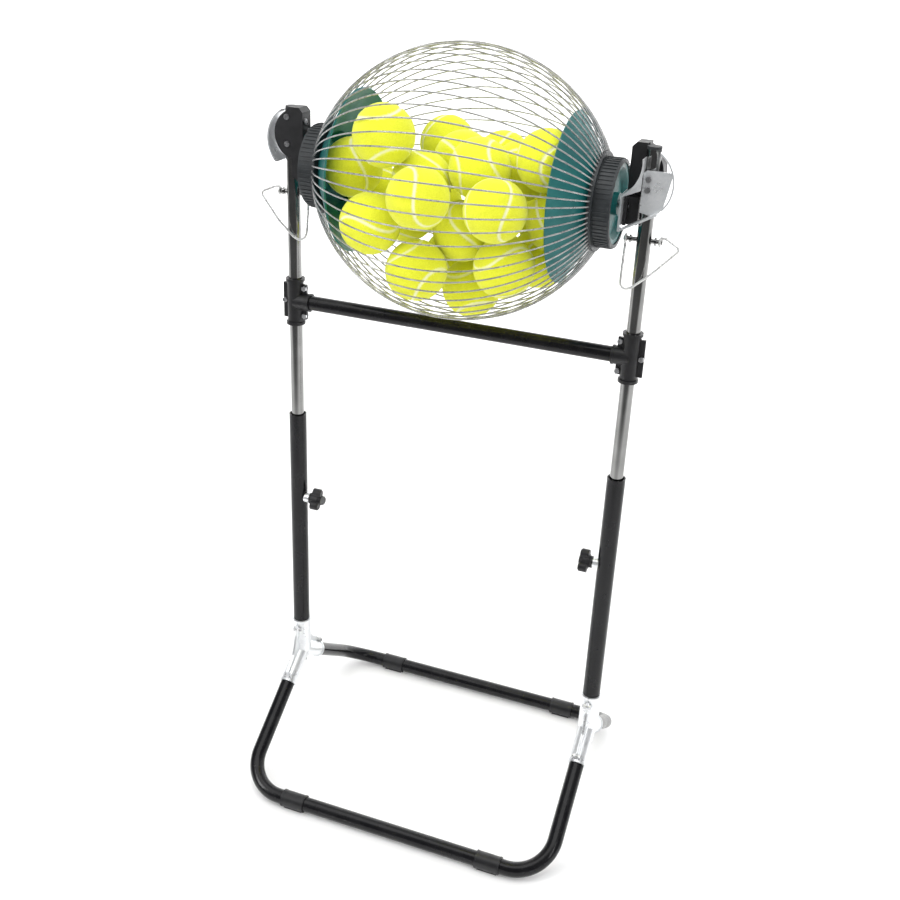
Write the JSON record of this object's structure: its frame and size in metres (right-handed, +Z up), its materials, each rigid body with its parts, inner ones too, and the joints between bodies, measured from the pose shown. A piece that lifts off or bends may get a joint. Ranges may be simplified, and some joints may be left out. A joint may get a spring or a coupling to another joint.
{
  "type": "tennis ball collector",
  "caption": "Rotating wire-cage tennis ball collector with coned end caps, held in a telescoping tubular floor stand with a crossbar and clamping knobs.",
  "frame": {"origin": "floor level, midway between the two uprights and between the two foot tubes", "axes": "+X along the cage axis towards the right upright, -Y to the front, +Z up"},
  "size_m": [0.498, 0.3548, 0.9609],
  "materials": {
    "black_tube": "gloss",
    "black_plastic": "satin",
    "black_clamp": "satin",
    "zinc": "bright",
    "steel_bolt": "bright",
    "chrome": "mirror",
    "bush_plastic": "satin",
    "teal_plastic": "satin",
    "grey_plastic": "satin",
    "cage_steel": "bright",
    "felt": "felt"
  },
  "bodies": {
    "base": {"front_foot_tube": "black_tube", "rear_foot_tube": "black_tube", "front_left_leg": "black_tube", "front_right_leg": "black_tube", "rear_left_leg": "black_tube", "rear_right_leg": "black_tube", "front_left_collar": "black_clamp", "front_right_collar": "black_clamp", "rear_left_collar": "black_clamp", "rear_right_collar": "black_clamp", "left_joint_inner": "zinc", "left_joint_outer": "zinc", "right_joint_inner": "zinc", "right_joint_outer": "zinc", "left_joint_bolts": "steel_bolt", "right_joint_bolts": "steel_bolt", "left_lower_tube": "black_tube", "right_lower_tube": "black_tube", "left_guide_bush": "bush_plastic", "right_guide_bush": "bush_plastic", "left_knob_nut": "zinc", "right_knob_nut": "zinc"},
    "left_clamp_knob": {"left_knob": "black_plastic", "left_knob_stud": "chrome"},
    "right_clamp_knob": {"right_knob": "black_plastic", "right_knob_stud": "chrome"},
    "upper_frame": {"left_upright": "chrome", "right_upright": "chrome", "left_upright_plug": "bush_plastic", "right_upright_plug": "bush_plastic", "crossbar": "black_tube", "left_tee_front": "black_clamp", "left_tee_rear": "black_clamp", "right_tee_front": "black_clamp", "right_tee_rear": "black_clamp", "left_tee_bolts": "steel_bolt", "right_tee_bolts": "steel_bolt", "left_holder_body": "black_plastic", "right_holder_body": "black_plastic", "left_holder_shell": "zinc", "right_holder_shell": "zinc", "left_holder_bolts": "steel_bolt", "right_holder_bolts": "steel_bolt", "left_axle": "steel_bolt", "right_axle": "steel_bolt", "left_lock_pin": "chrome", "right_lock_pin": "chrome", "tennis_balls": "felt"},
    "left_wire_bail": {"left_bail": "cage_steel"},
    "right_wire_bail": {"right_bail": "cage_steel"},
    "basket": {"cage_wires": "cage_steel", "left_ring": "grey_plastic", "right_ring": "grey_plastic", "left_end_cap": "teal_plastic", "right_end_cap": "teal_plastic"}
  },
  "joints": [
    {"name": "height_slide", "type": "slide", "parent": "base", "child": "upper_frame", "axis": [0, 0, 1], "range_m": [-0.11, 0.03]},
    {"name": "basket_spin", "type": "hinge", "parent": "upper_frame", "child": "basket", "pos_m": [0, 0, 0.811], "axis": [1, 0, 0], "continuous": true},
    {"name": "left_knob_turn", "type": "hinge", "parent": "base", "child": "left_clamp_knob", "pos_m": [-0.1865, 0, 0.372], "axis": [1, 0, 0], "range_deg": [-360, 360]},
    {"name": "right_knob_turn", "type": "hinge", "parent": "base", "child": "right_clamp_knob", "pos_m": [0.1865, 0, 0.372], "axis": [1, 0, 0], "range_deg": [-360, 360]},
    {"name": "left_bail_swing", "type": "hinge", "parent": "upper_frame", "child": "left_wire_bail", "pos_m": [-0.209, 0, 0.776], "axis": [1, 0, 0], "range_deg": [-95, 0]},
    {"name": "right_bail_swing", "type": "hinge", "parent": "upper_frame", "child": "right_wire_bail", "pos_m": [0.209, 0, 0.776], "axis": [1, 0, 0], "range_deg": [-95, 0]}
  ]
}
